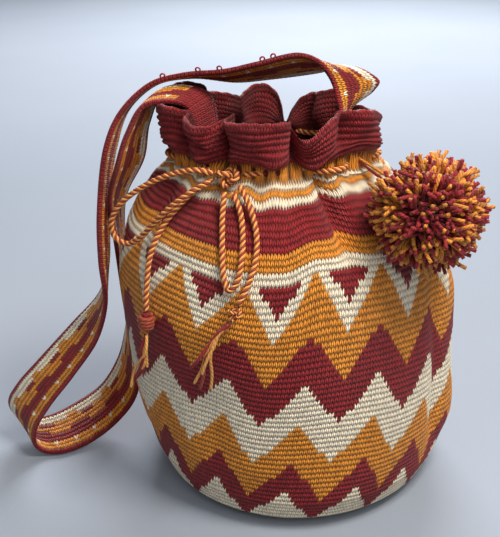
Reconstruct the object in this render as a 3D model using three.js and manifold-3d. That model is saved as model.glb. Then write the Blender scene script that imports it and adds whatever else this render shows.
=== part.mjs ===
// A crocheted bucket bag: a hollow gathered body, one long shoulder strap sewn inside the mouth,
// a drawstring woven through the neck and tied in a bow, and a yarn pompom on a short tie.
// Millimetres, +Z up, +X to the wearer's right of the bow side, the bow side faces -Y.
// The origin is the centre of the flat crocheted base.

import * as THREE from 'three';
import { mergeVertices } from 'three/addons/utils/BufferGeometryUtils.js';
import Module from 'manifold-3d';

const wasm = await Module();
wasm.setup();

// ---------------------------------------------------------------- driving dimensions
const WALL = 5;
const AROUND = 64;
const NECK_HEIGHT = 296;
const RIM_DROP_BACK = 12;
const RIM_LIFT = 10;
const RIM_LIFT_DEG = -118;
const RIM_LIFT_WIDTH_DEG = 18;
const PLEATS = 8;
const PLEAT_DEPTH = 8;
const PLEAT_CREST_DEG = -12;
const LEAN = 20;

const STRAP_THICKNESS = 4.5;
const STRAP_STEPS = 96;

const CORD_DIAMETER = 5;
const CORD_SIDES = 8;
const EYELET_CLEARANCE = 0.5;
const WEAVES = 7;
const BOW_ANGLE_DEG = -24;
const BOW_GAP_DEG = 9.5;

const POMPOM_RADIUS = 40;
const POMPOM_CENTRE = new THREE.Vector3(100, -92, 274);
const TIE_DIAMETER = 4;

const COLOURS = { maroon: 0x7a2a34, gold: 0xcd8c34, cream: 0xe2d8c6 };

// Half width and half depth of the body at each height, from the base's edge to the rim.
const SECTIONS = [
  { z: 0, a: 100, b: 107 },
  { z: 3, a: 110, b: 117 },
  { z: 12, a: 121, b: 128 },
  { z: 30, a: 131, b: 135 },
  { z: 60, a: 139, b: 138 },
  { z: 100, a: 144, b: 138 },
  { z: 145, a: 148, b: 136 },
  { z: 185, a: 146, b: 132 },
  { z: 215, a: 140, b: 125 },
  { z: 240, a: 130, b: 113 },
  { z: 260, a: 116, b: 98 },
  { z: 276, a: 101, b: 81 },
  { z: 288, a: 89, b: 68 },
  { z: 296, a: 86, b: 64 },
  { z: 306, a: 87, b: 66 },
  { z: 322, a: 89, b: 70 },
  { z: 338, a: 91, b: 74 },
];

// The strap's two edges, point for point, from its right end inside the mouth, over the arch,
// down the left side to the floor, round its loop and back over the rim to its left end.
const STRAP_STATIONS = [
  { thick: [41, -24, 305], thin: [41, 26, 305] },
  { thick: [38, -23, 325], thin: [46, 25, 325] },
  { thick: [33, -13, 341], thin: [66, 21, 342] },
  { thick: [29, -9, 353], thin: [70, 17, 352] },
  { thick: [22, -12, 367], thin: [56, 20, 362] },
  { thick: [13, -15, 377], thin: [38, 25, 365] },
  { thick: [0, -16, 381], thin: [19, 27, 361] },
  { thick: [-33, -13, 373], thin: [-24, 33, 355] },
  { thick: [-60, -9, 366], thin: [-52, 37, 351] },
  { thick: [-93, -6, 362], thin: [-88, 42, 355] },
  { thick: [-121, -7, 354], thin: [-118, 42, 351] },
  { thick: [-146, -13, 332], thin: [-146, 36, 326] },
  { thick: [-159, -21, 306], thin: [-159, 26, 290] },
  { thick: [-168, -30, 249], thin: [-168, 16, 231] },
  { thick: [-170, -31, 204], thin: [-172, 15, 186] },
  { thick: [-168, -32, 165], thin: [-182, 16, 155] },
  { thick: [-177, -33, 131], thin: [-209, 7, 127] },
  { thick: [-201, -33, 94], thin: [-241, -3, 94] },
  { thick: [-227, -33, 60], thin: [-265, -1, 66] },
  { thick: [-243, -31, 32], thin: [-277, 5, 44] },
  { thick: [-245, -28, 13], thin: [-275, 12, 27] },
  { thick: [-236, -25, 3.5], thin: [-265, 16, 18] },
  { thick: [-221, -22, 2.5], thin: [-245, 20, 18] },
  { thick: [-202, -10, 3.5], thin: [-222, 32, 24] },
  { thick: [-177, 12, 13], thin: [-197, 52, 35] },
  { thick: [-158, 23, 35], thin: [-179, 58, 63] },
  { thick: [-153, 22, 66], thin: [-171, 62, 88] },
  { thick: [-159, 12, 143], thin: [-162, 60, 137] },
  { thick: [-162, 6, 207], thin: [-162, 53, 193] },
  { thick: [-160, -20, 257], thin: [-153, 27, 245] },
  { thick: [-149, -37, 292], thin: [-131, 7, 288] },
  { thick: [-138, -40, 320], thin: [-124, 4, 320] },
  { thick: [-122, -37, 343], thin: [-109, 9, 347] },
  { thick: [-90, -27, 339], thin: [-74, 14, 341] },
  { thick: [-86, -26, 306], thin: [-67, 15, 306] },
];

// Routes of the free cord, chosen by hand from the knot outwards.
const KNOT_CENTRE = new THREE.Vector3(-55, -70, 295);
const KNOT_RADII = new THREE.Vector3(11, 8, 9);
const LEFT_LOOP = [
  [-66, -73, 299], [-78, -74, 302], [-98, -68, 297], [-122, -62, 285], [-143, -58, 268],
  [-152, -56, 252], [-150, -56, 238], [-140, -60, 234], [-130, -66, 240], [-118, -72, 253],
  [-102, -78, 271], [-84, -79, 285], [-68, -77, 294],
];
const RIGHT_LOOP = [
  [-57, -80, 286], [-58, -90, 273], [-58, -104, 254], [-57, -117, 232], [-53, -123, 221],
  [-47, -123, 226], [-43, -116, 241], [-42, -104, 258], [-44, -92, 273], [-50, -81, 286],
];
const LEFT_TAIL = [
  [-67, -70, 293], [-77, -69, 287], [-93, -69, 272], [-109, -76, 253], [-118, -84, 232],
  [-121, -92, 208], [-122, -96, 190],
];
const RIGHT_TAIL = [
  [-45, -79, 291], [-36, -93, 277], [-31, -107, 257], [-33, -120, 239], [-40, -129, 222],
  [-45, -132, 213],
];
const LEFT_TASSEL = [[-122, -98, 170], [-124, -99, 155], [-128, -96, 138], [-133, -92, 118]];
const RIGHT_TASSEL = [
  [-52, -136, 199], [-62, -137, 188], [-68, -139, 170], [-70, -139, 150], [-73, -138, 132],
];
const BARREL_RADIUS = 7;
const BARREL_LENGTH = 15;
const STOP_KNOT_RADIUS = 5.5;
const TASSEL_DIAMETER = 5;
const GAP = 0.4;

// ---------------------------------------------------------------- helpers
const vector = (point) => new THREE.Vector3(...point);
const radians = THREE.MathUtils.degToRad;
const smooth = (value, low, high) => THREE.MathUtils.smoothstep(value, low, high);

/** A closed mesh with shared corners, no collapsed triangles and its faces pointing out. */
function closed(source) {
  const bare = source.clone();
  for (const name of Object.keys(bare.attributes)) {
    if (name !== 'position') {
      bare.deleteAttribute(name);
    }
  }
  const welded = mergeVertices(bare, 1e-3);
  const old = welded.index.array;
  const kept = [];
  for (let i = 0; i < old.length; i += 3) {
    const [p, q, r] = [old[i], old[i + 1], old[i + 2]];
    if (p !== q && q !== r && r !== p) {
      kept.push(p, q, r);
    }
  }
  if (signedVolume(welded.attributes.position, kept) < 0) {
    for (let i = 0; i < kept.length; i += 3) {
      [kept[i], kept[i + 1]] = [kept[i + 1], kept[i]];
    }
  }
  welded.setIndex(kept);
  return welded;
}

function signedVolume(position, index) {
  const [p, q, r] = [new THREE.Vector3(), new THREE.Vector3(), new THREE.Vector3()];
  let sum = 0;
  for (let i = 0; i < index.length; i += 3) {
    p.fromBufferAttribute(position, index[i]);
    q.fromBufferAttribute(position, index[i + 1]);
    r.fromBufferAttribute(position, index[i + 2]);
    sum += p.dot(q.cross(r)) / 6;
  }
  return sum;
}

function toManifold(geometry) {
  const vertProperties = new Float32Array(geometry.attributes.position.array);
  const triVerts = new Uint32Array(geometry.index.array);
  return new wasm.Manifold(new wasm.Mesh({ numProp: 3, vertProperties, triVerts }));
}

function fromManifold(solid) {
  const result = solid.getMesh();
  const geometry = new THREE.BufferGeometry();
  geometry.setAttribute('position', new THREE.BufferAttribute(result.vertProperties, 3));
  geometry.setIndex(new THREE.BufferAttribute(result.triVerts, 1));
  geometry.computeVertexNormals();
  return geometry;
}

/** A round tube along points, as a many-sided section swept along a smooth curve. */
function tube(points, diameter, steps, sides = CORD_SIDES) {
  const section = new THREE.Shape();
  for (let i = 0; i < sides; i += 1) {
    const turn = (2 * Math.PI * i) / sides;
    const corner = [Math.cos(turn) * diameter / 2, Math.sin(turn) * diameter / 2];
    if (i === 0) {
      section.moveTo(...corner);
    } else {
      section.lineTo(...corner);
    }
  }
  const path = new THREE.CatmullRomCurve3(points, false, 'centripetal');
  return closed(new THREE.ExtrudeGeometry(section, { steps, extrudePath: path, bevelEnabled: false }));
}

// ---------------------------------------------------------------- the bag's own form
/** Half width and half depth at a height, straight between the stated sections. */
function sectionAt(z) {
  const last = SECTIONS.length - 1;
  const above = SECTIONS.findIndex((section) => section.z >= z);
  if (above === 0 || z <= 0) {
    return SECTIONS[0];
  }
  if (above === -1) {
    return SECTIONS[last];
  }
  const [low, high] = [SECTIONS[above - 1], SECTIONS[above]];
  const t = (z - low.z) / (high.z - low.z);
  return { z, a: THREE.MathUtils.lerp(low.a, high.a, t), b: THREE.MathUtils.lerp(low.b, high.b, t) };
}

/** How far the section's centre has moved to the left: the filled bag leans away from the pompom. */
function centreX(z) {
  return -LEAN * THREE.MathUtils.clamp((z - 50) / 240, 0, 1);
}

/**
 * A point of the body at a height, an angle from the bow side's middle (turning towards +X) and an
 * outward offset from the outer surface. The collar's pleats grow from the neck to the rim, which is
 * lower at the back and lifted just behind the place where the strap's left end goes over it.
 */
function onBody(z, angle, offset) {
  const { a, b } = sectionAt(z);
  const pleat = PLEAT_DEPTH * smooth(z, NECK_HEIGHT + 4, SECTIONS.at(-1).z);
  const wave = pleat * Math.cos(PLEATS * (angle - radians(PLEAT_CREST_DEG)));
  const fromLift = Math.sin((angle - radians(RIM_LIFT_DEG)) / 2) * 2 / radians(RIM_LIFT_WIDTH_DEG);
  const tilt = RIM_LIFT * Math.exp(-fromLift * fromLift) - RIM_DROP_BACK * (1 - Math.cos(angle)) / 2;
  const rise = tilt * smooth(z, NECK_HEIGHT, SECTIONS.at(-1).z);
  return new THREE.Vector3(
    centreX(z) + (a + wave + offset) * Math.sin(angle),
    -(b + wave + offset) * Math.cos(angle),
    z + rise,
  );
}

/** The crocheted body with its floor, its wall and the rolled edge at the rim, before the eyelets. */
function bodyShell() {
  const rim = SECTIONS.at(-1).z;
  const outer = SECTIONS.map(({ z }) => ({ z, offset: 0 }));
  const rolled = [{ z: rim + 2.5, offset: -WALL * 0.25 }, { z: rim + 2.5, offset: -WALL * 0.75 }];
  const inner = SECTIONS.slice(2).reverse().map(({ z }) => ({ z, offset: -WALL }));
  const corner = [{ z: WALL, offset: -WALL * 2.4 }];
  const ring = [...outer, ...rolled, ...inner, ...corner];
  const profile = [new THREE.Vector2(0, 0)];
  for (const { z } of ring) {
    profile.push(new THREE.Vector2(sectionAt(z).a, z));
  }
  profile.push(new THREE.Vector2(0, WALL));
  const lathe = new THREE.LatheGeometry(profile, AROUND);
  const position = lathe.attributes.position;
  const perTurn = profile.length;
  for (let turn = 0; turn <= AROUND; turn += 1) {
    const angle = (2 * Math.PI * turn) / AROUND;
    for (let step = 0; step < perTurn; step += 1) {
      const entry = ring[step - 1];
      const place = entry
        ? onBody(entry.z, angle, entry.offset)
        : new THREE.Vector3(0, 0, step === 0 ? 0 : WALL);
      position.setXYZ(turn * perTurn + step, place.x, place.y, place.z);
    }
  }
  return closed(lathe);
}

/** The drawstring's run: out of the wall, back in through the next eyelet, right round the neck. */
function neckRoute() {
  const start = radians(BOW_ANGLE_DEG + BOW_GAP_DEG);
  const sweep = radians(360 - 2 * BOW_GAP_DEG);
  const count = 16 * WEAVES;
  const middle = -WALL / 2;
  const reach = WALL / 2 + CORD_DIAMETER / 2 + 1;
  return Array.from({ length: count + 1 }, (_, i) => {
    const along = i / count;
    const weave = Math.cos(2 * Math.PI * WEAVES * along);
    return onBody(NECK_HEIGHT, start + sweep * along, middle + reach * weave);
  });
}

/** The body with its eyelets cut along the drawstring's run. */
function bodyGeometry() {
  const route = neckRoute();
  const passage = tube(route, CORD_DIAMETER + 2 * EYELET_CLEARANCE, 80);
  return fromManifold(toManifold(bodyShell()).subtract(toManifold(passage)));
}

/** The strap: a flat band whose two edges follow smooth curves through their stations. */
function strapGeometry() {
  const edge = (side) => new THREE.CatmullRomCurve3(
    STRAP_STATIONS.map((station) => vector(station[side])), false, 'centripetal');
  const [thick, thin] = [edge('thick'), edge('thin')];
  const band = new THREE.BoxGeometry(STRAP_THICKNESS, 1, 1, 1, 2, STRAP_STEPS);
  const position = band.attributes.position;
  for (let i = 0; i < position.count; i += 1) {
    const along = THREE.MathUtils.clamp(position.getZ(i) + 0.5, 0, 1);
    const start = thick.getPoint(along);
    const across = thin.getPoint(along).sub(start);
    const tangent = thick.getTangent(along).add(thin.getTangent(along));
    const face = tangent.cross(across).normalize();
    start.addScaledVector(across, position.getY(i) + 0.5).addScaledVector(face, position.getX(i));
    position.setXYZ(i, start.x, start.y, start.z);
  }
  return closed(band);
}

/** A wound end knot: a short barrel with rounded shoulders, standing on +Z about its middle. */
function barrelGeometry() {
  const half = BARREL_LENGTH / 2;
  const profile = [
    new THREE.Vector2(0, -half),
    new THREE.Vector2(BARREL_RADIUS * 0.7, -half),
    new THREE.Vector2(BARREL_RADIUS, -half * 0.6),
    new THREE.Vector2(BARREL_RADIUS, half * 0.6),
    new THREE.Vector2(BARREL_RADIUS * 0.7, half),
    new THREE.Vector2(0, half),
  ];
  return closed(new THREE.LatheGeometry(profile, 12).rotateX(Math.PI / 2));
}

function knotGeometry(radii) {
  return closed(new THREE.SphereGeometry(1, 14, 10).scale(radii.x, radii.y, radii.z));
}

/** The pompom's tie: from just outside the neck to just outside the ball. */
function tieRoute() {
  const exit = onBody(NECK_HEIGHT + 3, radians(54), TIE_DIAMETER / 2 + 1.2);
  const inward = exit.clone().sub(POMPOM_CENTRE).normalize();
  const arrival = POMPOM_CENTRE.clone().addScaledVector(inward, POMPOM_RADIUS + GAP);
  const middle = exit.clone().lerp(arrival, 0.5);
  middle.z += 2;
  return [exit, middle, arrival];
}

// ---------------------------------------------------------------- assembly
const group = new THREE.Group();

function add(name, geometry, colour, place = new THREE.Vector3()) {
  const material = new THREE.MeshStandardMaterial({ color: colour, roughness: 0.95, metalness: 0 });
  const mesh = new THREE.Mesh(geometry, material);
  mesh.name = name;
  mesh.position.copy(place);
  group.add(mesh);
  return mesh;
}

add('bag_body', bodyGeometry(), COLOURS.maroon);
add('shoulder_strap', strapGeometry(), COLOURS.gold);

add('drawstring_neck_run', tube(neckRoute(), CORD_DIAMETER, 80), COLOURS.gold);
add('bow_knot', knotGeometry(KNOT_RADII), COLOURS.maroon, KNOT_CENTRE);
add('left_bow_loop', tube(LEFT_LOOP.map(vector), CORD_DIAMETER, 34), COLOURS.gold);
add('right_bow_loop', tube(RIGHT_LOOP.map(vector), CORD_DIAMETER, 26), COLOURS.gold);
add('left_tail', tube(LEFT_TAIL.map(vector), CORD_DIAMETER, 16), COLOURS.gold);
add('right_tail', tube(RIGHT_TAIL.map(vector), CORD_DIAMETER, 14), COLOURS.gold);

const barrelPlace = vector(LEFT_TAIL.at(-1)).add(new THREE.Vector3(0, -1, -BARREL_LENGTH / 2 - GAP - 1));
add('left_end_knot', barrelGeometry(), COLOURS.maroon, barrelPlace);
const stopPlace = vector(RIGHT_TAIL.at(-1)).add(new THREE.Vector3(-3, -2, -STOP_KNOT_RADIUS - GAP - 1));
const stopRadii = new THREE.Vector3(STOP_KNOT_RADIUS, STOP_KNOT_RADIUS, STOP_KNOT_RADIUS);
add('right_end_knot', knotGeometry(stopRadii), COLOURS.maroon, stopPlace);
add('left_tassel', tube(LEFT_TASSEL.map(vector), TASSEL_DIAMETER, 8), COLOURS.gold);
add('right_tassel', tube(RIGHT_TASSEL.map(vector), TASSEL_DIAMETER, 10), COLOURS.gold);

add('pompom_ball', closed(new THREE.SphereGeometry(POMPOM_RADIUS, 24, 16)), COLOURS.maroon, POMPOM_CENTRE);
add('pompom_tie', tube(tieRoute(), TIE_DIAMETER, 8), COLOURS.maroon);

export default group;
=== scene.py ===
"""A crocheted bucket bag with a long strap, a drawstring tied in a bow and a yarn pompom.

Every length in the pieces' fields is in millimetres, in the frame's own axes: +Z up, the bow side
faces -Y, and the origin is the middle of the base on the floor. Meshes are written in metres.
"""

import logging
import math
from collections.abc import Callable, Sequence
from dataclasses import dataclass, field
from enum import Enum

import bpy
import numpy as np
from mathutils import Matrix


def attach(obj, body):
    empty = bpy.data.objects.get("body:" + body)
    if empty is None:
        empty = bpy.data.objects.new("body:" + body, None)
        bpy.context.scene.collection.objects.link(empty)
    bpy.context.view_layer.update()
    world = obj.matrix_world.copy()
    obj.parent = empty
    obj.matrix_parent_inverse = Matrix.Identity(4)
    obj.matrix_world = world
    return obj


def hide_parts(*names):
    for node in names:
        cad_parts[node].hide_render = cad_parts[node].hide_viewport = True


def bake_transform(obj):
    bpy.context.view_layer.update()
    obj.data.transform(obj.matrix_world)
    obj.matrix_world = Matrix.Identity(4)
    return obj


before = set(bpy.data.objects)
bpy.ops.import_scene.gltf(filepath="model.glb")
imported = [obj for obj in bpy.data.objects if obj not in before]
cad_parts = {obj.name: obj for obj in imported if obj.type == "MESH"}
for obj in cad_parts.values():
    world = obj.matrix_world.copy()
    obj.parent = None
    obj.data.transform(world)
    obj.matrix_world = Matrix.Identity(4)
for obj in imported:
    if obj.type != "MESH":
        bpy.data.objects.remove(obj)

Array = np.ndarray
Colour = tuple[float, float, float]
MM = 0.001
TURN = 2 * math.pi
log = logging.getLogger("mochila")


class Body(Enum):
    """The two bodies that pieces ride on."""

    BAG = "bag"
    POMPOM = "pompom"


class Slot(Enum):
    """The record's material slots."""

    BAG = "bag_yarn"
    STRAP = "strap_yarn"
    CORD = "cord_yarn"
    POMPOM = "pompom_yarn"


def linear(red: int, green: int, blue: int) -> Colour:
    """Turns an 8-bit display colour, each part 0 to 255, into the linear one that shaders take."""
    parts = np.array([red, green, blue]) / 255
    low, high = parts / 12.92, ((parts + 0.055) / 1.055) ** 2.4
    return tuple(float(v) for v in np.where(parts <= 0.04045, low, high))


@dataclass(frozen=True)
class Yarns:
    """The bag's three yarn colours."""

    maroon: Colour = linear(143, 31, 35)
    gold: Colour = linear(226, 142, 44)
    cream: Colour = linear(250, 234, 204)


YARNS = Yarns()


# ---------------------------------------------------------------- shapes worked out with numpy
def smoothstep(value: Array, low: float, high: float) -> Array:
    """The cubic 3t^2 - 2t^3, with t running from 0 at low to 1 at high and held beyond them."""
    t = np.clip((value - low) / (high - low), 0, 1)
    return t * t * (3 - 2 * t)


def window(value: Array, rise: tuple[float, float], fall: tuple[float, float]) -> Array:
    """1 between two smooth ramps, the rise and the fall, and 0 outside them."""
    return smoothstep(value, *rise) * (1 - smoothstep(value, *fall))


def bell(value: Array, centre: float, width: float) -> Array:
    """exp(-(distance / width)^2), with the distance from a centre."""
    return np.exp(-(((value - centre) / width) ** 2))


def joined(first: Array, second: Array) -> Array:
    """Two arrays spread over each other's shape and paired along a new last axis."""
    return np.stack(np.broadcast_arrays(first, second), -1)


def unit(vectors: Array) -> Array:
    """Vectors scaled to length 1 along the last axis."""
    return vectors / np.maximum(np.linalg.norm(vectors, axis=-1, keepdims=True), 1e-12)


def wrapped(degrees: Array) -> Array:
    """Degrees brought into -180 to 180."""
    return (degrees + 180) % 360 - 180


def hump(degrees: Array, centre: float, width: float) -> Array:
    """The bell of an angle in degrees, which wraps round."""
    return bell(wrapped(degrees - centre), 0, width)


def humps(degrees: Array, rows: Sequence[tuple[float, float, float]]) -> Array:
    """A sum of humps, each row giving a centre, a height and a width."""
    return sum(height * hump(degrees, centre, width) for centre, height, width in rows)


def smooth_curve(points: Sequence, closed: bool = False, per_span: int = 24) -> Array:
    """A centripetal Catmull-Rom curve: knots lie apart by the square root of the spans' lengths.

    Args:
        points: The points that it goes through.
        closed: Whether the last point joins the first.
        per_span: Samples for each span.

    Returns:
        Samples, even in the curve's own parameter.
    """
    p = np.asarray(points, float)
    ends = (p[-1:], p[:2]) if closed else (2 * p[:1] - p[1:2], 2 * p[-1:] - p[-2:-1])
    full = np.vstack([ends[0], p, ends[1]])
    p0, p1, p2, p3 = (full[k : len(full) - 3 + k, None, :] for k in range(4))
    spans = (p1 - p0, p2 - p1, p3 - p2)
    gap = [np.sqrt(np.linalg.norm(span, axis=2))[..., None] for span in spans]
    t0, t1 = 0.0, gap[0]
    t2, t3 = t1 + gap[1], t1 + gap[1] + gap[2]
    t = t1 + (np.arange(per_span) / per_span)[None, :, None] * (t2 - t1)

    def between(a: Array, b: Array, start: Array, end: Array) -> Array:
        """The straight blend from a at start to b at end, taken at t."""
        return ((end - t) * a + (t - start) * b) / (end - start)

    a1, a2, a3 = between(p0, p1, t0, t1), between(p1, p2, t1, t2), between(p2, p3, t2, t3)
    b1, b2 = between(a1, a2, t0, t2), between(a2, a3, t1, t3)
    curve = between(b1, b2, t1, t2).reshape(-1, 3)
    return curve if closed else np.vstack([curve, p[-1:]])


def run_of(curve: Array) -> Array:
    """The length along a curve at each of its samples, starting at 0."""
    return np.concatenate([[0], np.cumsum(np.linalg.norm(np.diff(curve, axis=0), axis=1))])


def resampled(curve: Array, at: Array, run: Array) -> Array:
    """A curve's points at stated lengths along it, straight between its samples."""
    return np.stack([np.interp(at, run, curve[:, k]) for k in range(3)], axis=1)


def even_path(points: Sequence, step: float, closed: bool = False) -> Array:
    """Points evenly spaced along the smooth curve through the given points.

    Args:
        points: The points that it goes through.
        step: About how far apart the results lie.
        closed: Whether the path joins its own start.

    Returns:
        The path, without a repeated last point when closed.
    """
    curve = smooth_curve(points, closed)
    curve = np.vstack([curve, curve[:1]]) if closed else curve
    run = run_of(curve)
    count = max(4, int(round(run[-1] / step)))
    path = resampled(curve, np.linspace(0, run[-1], count + 1), run)
    return path[:-1] if closed else path


def directions(path: Array, closed: bool = False) -> Array:
    """The unit tangent at each point, from its two neighbours."""
    if closed:
        return unit(np.roll(path, -1, axis=0) - np.roll(path, 1, axis=0))
    return unit(np.gradient(path, axis=0))


def carried_frame(path: Array, closed: bool = False) -> tuple[Array, Array]:
    """Two directions across a path, carried along it without twist.

    Each station's first direction is the last one's, made square to the new tangent. On a closed
    path the angle left over at the end is shared out evenly.

    Args:
        path: The stations.
        closed: Whether the path joins its own start.

    Returns:
        The first and second directions across.
    """
    tangent = directions(path, closed)
    first = np.empty_like(path)
    axis = np.eye(3)[np.argmin(np.abs(tangent[0]))]
    first[0] = unit(np.cross(tangent[0], axis))
    for i in range(1, len(path)):
        across = first[i - 1] - tangent[i] * first[i - 1].dot(tangent[i])
        first[i] = across / np.linalg.norm(across)
    second = np.cross(tangent, first)
    if closed:
        back = first[-1] - tangent[0] * first[-1].dot(tangent[0])
        spare = math.atan2(back.dot(second[0]), back.dot(first[0]))
        turn = -spare * np.arange(len(path))[:, None] / len(path)
        first, second = (
            first * np.cos(turn) + second * np.sin(turn),
            second * np.cos(turn) - first * np.sin(turn),
        )
    return first, second


@dataclass
class Patch:
    """A closed grid of points with its faces, its texture coordinates and values at its points."""

    points: Array
    quads: Array
    triangles: Array
    quad_uv: Array
    triangle_uv: Array
    values: dict[str, Array] = field(default_factory=dict)

    def outward(self) -> "Patch":
        """Turns every face round if the volume that they enclose comes out negative."""
        p, q = self.points, self.quads
        tris = np.vstack([q[:, [0, 1, 2]], q[:, [0, 2, 3]], self.triangles.reshape(-1, 3)])
        a, b, c = (p[tris[:, k]] for k in range(3))
        if np.einsum("ij,ij->i", a, np.cross(b, c)).sum() < 0:
            self.quads, self.quad_uv = q[:, ::-1], self.quad_uv[:, ::-1]
            self.triangles, self.triangle_uv = self.triangles[:, ::-1], self.triangle_uv[:, ::-1]
        return self


def grid_patch(
    points: Array,
    uv: Array,
    ring: bool = False,
    start: Array | None = None,
    end: Array | None = None,
    **values: Array,
) -> Patch:
    """A grid of rows that each close on themselves, joined row to row.

    Args:
        points: Rows by columns by 3; the last column joins the first.
        uv: Texture coordinates, with one column more than points, and one row more if ring.
        ring: Whether the last row joins the first; otherwise a pole closes each end.
        start: The first pole, by default the first row's middle.
        end: The last pole, by default the last row's middle.
        **values: Named numbers for each point, rows by columns.

    Returns:
        The closed patch with its faces outwards.
    """
    rows, cols = points.shape[:2]
    i = np.arange(rows if ring else rows - 1)[:, None]
    j = np.arange(cols)[None, :]
    below, above, right = i * cols, ((i + 1) % rows) * cols, (j + 1) % cols
    quads = np.stack([below + j, below + right, above + right, above + j], -1).reshape(-1, 4)
    quad_uv = np.stack([uv[i, j], uv[i, j + 1], uv[i + 1, j + 1], uv[i + 1, j]], 2).reshape(-1, 4, 2)
    cloud = points.reshape(-1, 3)
    flat = {name: np.asarray(v, float).reshape(-1) for name, v in values.items()}
    triangles, triangle_uv = np.zeros((0, 3), int), np.zeros((0, 3, 2))
    if not ring:
        poles = [points[0].mean(0) if start is None else start, points[-1].mean(0) if end is None else end]
        first, last = rows * cols, (rows - 1) * cols
        flat_j, flat_r = j[0], right[0]
        triangles = np.vstack(
            [
                np.stack([flat_r, flat_j, np.full(cols, first)], 1),
                np.stack([last + flat_j, last + flat_r, np.full(cols, first + 1)], 1),
            ]
        )
        middle = 0.5 * (uv[:, :-1] + uv[:, 1:])
        triangle_uv = np.vstack(
            [
                np.stack([uv[0, 1:], uv[0, :-1], middle[0]], 1),
                np.stack([uv[-1, :-1], uv[-1, 1:], middle[-1]], 1),
            ]
        )
        cloud = np.vstack([cloud, poles])
        flat = {
            name: np.concatenate([v, [v[:cols].mean(), v[-cols:].mean()]]) for name, v in flat.items()
        }
    return Patch(cloud, quads, triangles, quad_uv, triangle_uv, flat).outward()


def tube_patch(
    path: Array,
    first: Array,
    second: Array,
    radius: Array | float,
    sides: int,
    closed: bool = False,
    **values: float,
) -> Patch:
    """A round tube: at each station a circle, centre + r (cos(a) first + sin(a) second).

    Args:
        path: The stations.
        first: One direction across at each station.
        second: The other.
        radius: The circle's radius, one number or one for each station.
        sides: Points round the circle.
        closed: Whether the tube joins its own start.
        **values: Named numbers, each the same all over the tube.

    Returns:
        The closed tube, with u once round and v in millimetres along.
    """
    angle = TURN * np.arange(sides) / sides
    reach = np.broadcast_to(np.asarray(radius, float), (len(path),))[:, None, None]
    turn = angle[None, :, None]
    circle = np.cos(turn) * first[:, None] + np.sin(turn) * second[:, None]
    points = path[:, None] + reach * circle
    run = run_of(np.vstack([path, path[:1]])) if closed else run_of(path)
    uv = joined(np.linspace(0, 1, sides + 1)[None], run[:, None])
    filled = {name: np.full(points.shape[:2], v) for name, v in values.items()}
    return grid_patch(points, uv, closed, **filled)


def plain_tube(
    path: Array, radius: Array | float, sides: int, closed: bool = False, **values: float
) -> Patch:
    """A tube whose circles are carried along its path without twist."""
    return tube_patch(path, *carried_frame(path, closed), radius, sides, closed, **values)


def link(name: str, data: bpy.types.ID | None) -> bpy.types.Object:
    """Puts a new object with its data into the scene."""
    made = bpy.data.objects.new(name, data)
    bpy.context.scene.collection.objects.link(made)
    return made


def piece_from(name: str, patches: Sequence[Patch], finish: bpy.types.Material) -> bpy.types.Object:
    """Writes patches into one mesh object, smooth all over, with its place in its mesh.

    Args:
        name: The object's name.
        patches: What it is made of, in millimetres.
        finish: Its material.

    Returns:
        The object, at the origin.
    """
    offsets = np.cumsum([0] + [len(p.points) for p in patches])
    corners = [
        np.concatenate([(p.quads + start).ravel(), (p.triangles + start).ravel()])
        for p, start in zip(patches, offsets)
    ]
    sizes = np.concatenate([np.repeat([4, 3], [len(p.quads), len(p.triangles)]) for p in patches])
    uvs = [np.vstack([p.quad_uv.reshape(-1, 2), p.triangle_uv.reshape(-1, 2)]) for p in patches]
    mesh = bpy.data.meshes.new(name)
    mesh.vertices.add(offsets[-1])
    mesh.vertices.foreach_set("co", (np.vstack([p.points for p in patches]) * MM).ravel())
    loops = np.concatenate(corners)
    mesh.loops.add(len(loops))
    mesh.loops.foreach_set("vertex_index", loops.astype(np.int32))
    mesh.polygons.add(len(sizes))
    starts = np.concatenate([[0], np.cumsum(sizes)[:-1]])
    mesh.polygons.foreach_set("loop_start", starts.astype(np.int32))
    mesh.polygons.foreach_set("use_smooth", np.ones(len(sizes), bool))
    mesh.uv_layers.new(name="Stitch").data.foreach_set("uv", np.vstack(uvs).ravel())
    mesh.update(calc_edges=True)
    for key in patches[0].values:
        numbers = np.concatenate([p.values[key] for p in patches])
        mesh.attributes.new(key, "FLOAT", "POINT").data.foreach_set("value", numbers)
    mesh.materials.append(finish)
    log.info("%s: %d patches, %d faces", name, len(patches), len(sizes))
    return link(name, mesh)


def settle(piece: bpy.types.Object, body: Body, slot: Slot, *nodes: str) -> bpy.types.Object:
    """Makes a piece ride on its body, take its slot and stand for its CAD nodes.

    Args:
        piece: The piece.
        body: The body that it rides on.
        slot: The material slot that it takes its finish from.
        *nodes: The CAD nodes that it stands for.

    Returns:
        The same piece.
    """
    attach(piece, body.value)
    if nodes:
        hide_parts(*nodes)
    return piece


# ---------------------------------------------------------------- shader sums
def sum_method(operation: str, text: str, swapped: bool = False) -> Callable[..., "Wire"]:
    """Makes a Wire's method that adds one Math node.

    Args:
        operation: Blender's name for the sum.
        text: What the method gives, for its docstring.
        swapped: Whether the wire comes last in the sum.

    Returns:
        The method.
    """

    def method(wire: "Wire", *others: "Wire | float") -> "Wire":
        """Stands in for the text that follows."""
        parts = (*others, wire) if swapped else (wire, *others)
        return wire.graph.math(operation, *parts)

    method.__doc__ = text
    return method


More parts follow.
